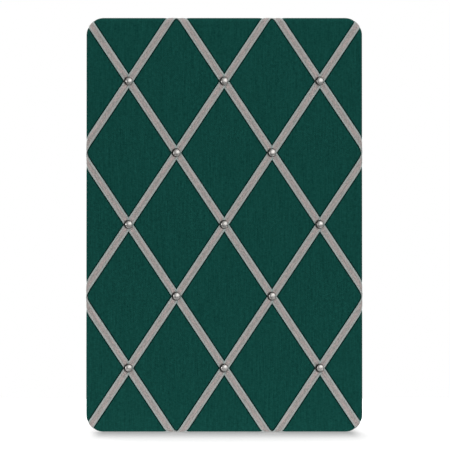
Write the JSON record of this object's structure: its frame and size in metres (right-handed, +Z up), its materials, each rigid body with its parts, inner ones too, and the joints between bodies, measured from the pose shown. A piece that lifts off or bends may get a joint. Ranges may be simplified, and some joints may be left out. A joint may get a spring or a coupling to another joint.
{
  "type": "ribbon memo board",
  "caption": "Padded fabric memo board with rounded corners, criss-cross ribbons held by domed tacks, felt back and swinging D-ring hangers.",
  "frame": {"origin": "point of the wall plane midway between the two hooks that the D rings hang on when they are turned up", "axes": "+X to the right seen from the front, +Y into the wall, +Z up; the padded face looks along -Y"},
  "size_m": [0.4096, 0.0296, 0.6128],
  "materials": {
    "fibreboard": "raw wood-fibre board",
    "wadding": "polyester wadding",
    "cloth": "dark green linen-look weave",
    "felt": "charcoal felt",
    "ribbon": "taupe ribbed ribbon",
    "nickel": "polished nickel",
    "steel": "zinc plated",
    "rubber": "matt rubber"
  },
  "bodies": {
    "panel": {"backing_board": "fibreboard", "wadding_pad": "wadding", "cloth_cover": "cloth", "felt_back": "felt", "ribbon_falling_1": "ribbon", "ribbon_falling_2": "ribbon", "ribbon_falling_3": "ribbon", "ribbon_falling_4": "ribbon", "ribbon_falling_5": "ribbon", "ribbon_rising_1": "ribbon", "ribbon_rising_2": "ribbon", "ribbon_rising_3": "ribbon", "ribbon_rising_4": "ribbon", "ribbon_rising_5": "ribbon", "tack_row1_1": "nickel", "tack_row1_2": "nickel", "tack_row1_3": "nickel", "tack_row2_1": "nickel", "tack_row2_2": "nickel", "tack_row3_1": "nickel", "tack_row3_2": "nickel", "tack_row3_3": "nickel", "tack_row4_1": "nickel", "tack_row4_2": "nickel", "tack_row5_1": "nickel", "tack_row5_2": "nickel", "tack_row5_3": "nickel", "staple_falling_1_upper": "steel", "staple_falling_1_lower": "steel", "staple_falling_2_upper": "steel", "staple_falling_2_lower": "steel", "staple_falling_3_upper": "steel", "staple_falling_3_lower": "steel", "staple_falling_4_upper": "steel", "staple_falling_4_lower": "steel", "staple_falling_5_upper": "steel", "staple_falling_5_lower": "steel", "staple_rising_1_upper": "steel", "staple_rising_1_lower": "steel", "staple_rising_2_upper": "steel", "staple_rising_2_lower": "steel", "staple_rising_3_upper": "steel", "staple_rising_3_lower": "steel", "staple_rising_4_upper": "steel", "staple_rising_4_lower": "steel", "staple_rising_5_upper": "steel", "staple_rising_5_lower": "steel", "hanger_strap_left": "steel", "hanger_strap_right": "steel", "hanger_screw_left": "steel", "hanger_screw_right": "steel", "wall_bumper_left": "rubber", "wall_bumper_right": "rubber"},
    "ring_left": {"hanger_ring_left": "steel"},
    "ring_right": {"hanger_ring_right": "steel"}
  },
  "joints": [
    {"name": "ring_left_swing", "type": "hinge", "parent": "panel", "child": "ring_left", "pos_m": [-0.13, -0.0042, -0.012], "axis": [1, 0, 0], "range_deg": [0, 176]},
    {"name": "ring_right_swing", "type": "hinge", "parent": "panel", "child": "ring_right", "pos_m": [0.13, -0.0042, -0.012], "axis": [1, 0, 0], "range_deg": [0, 176]}
  ]
}
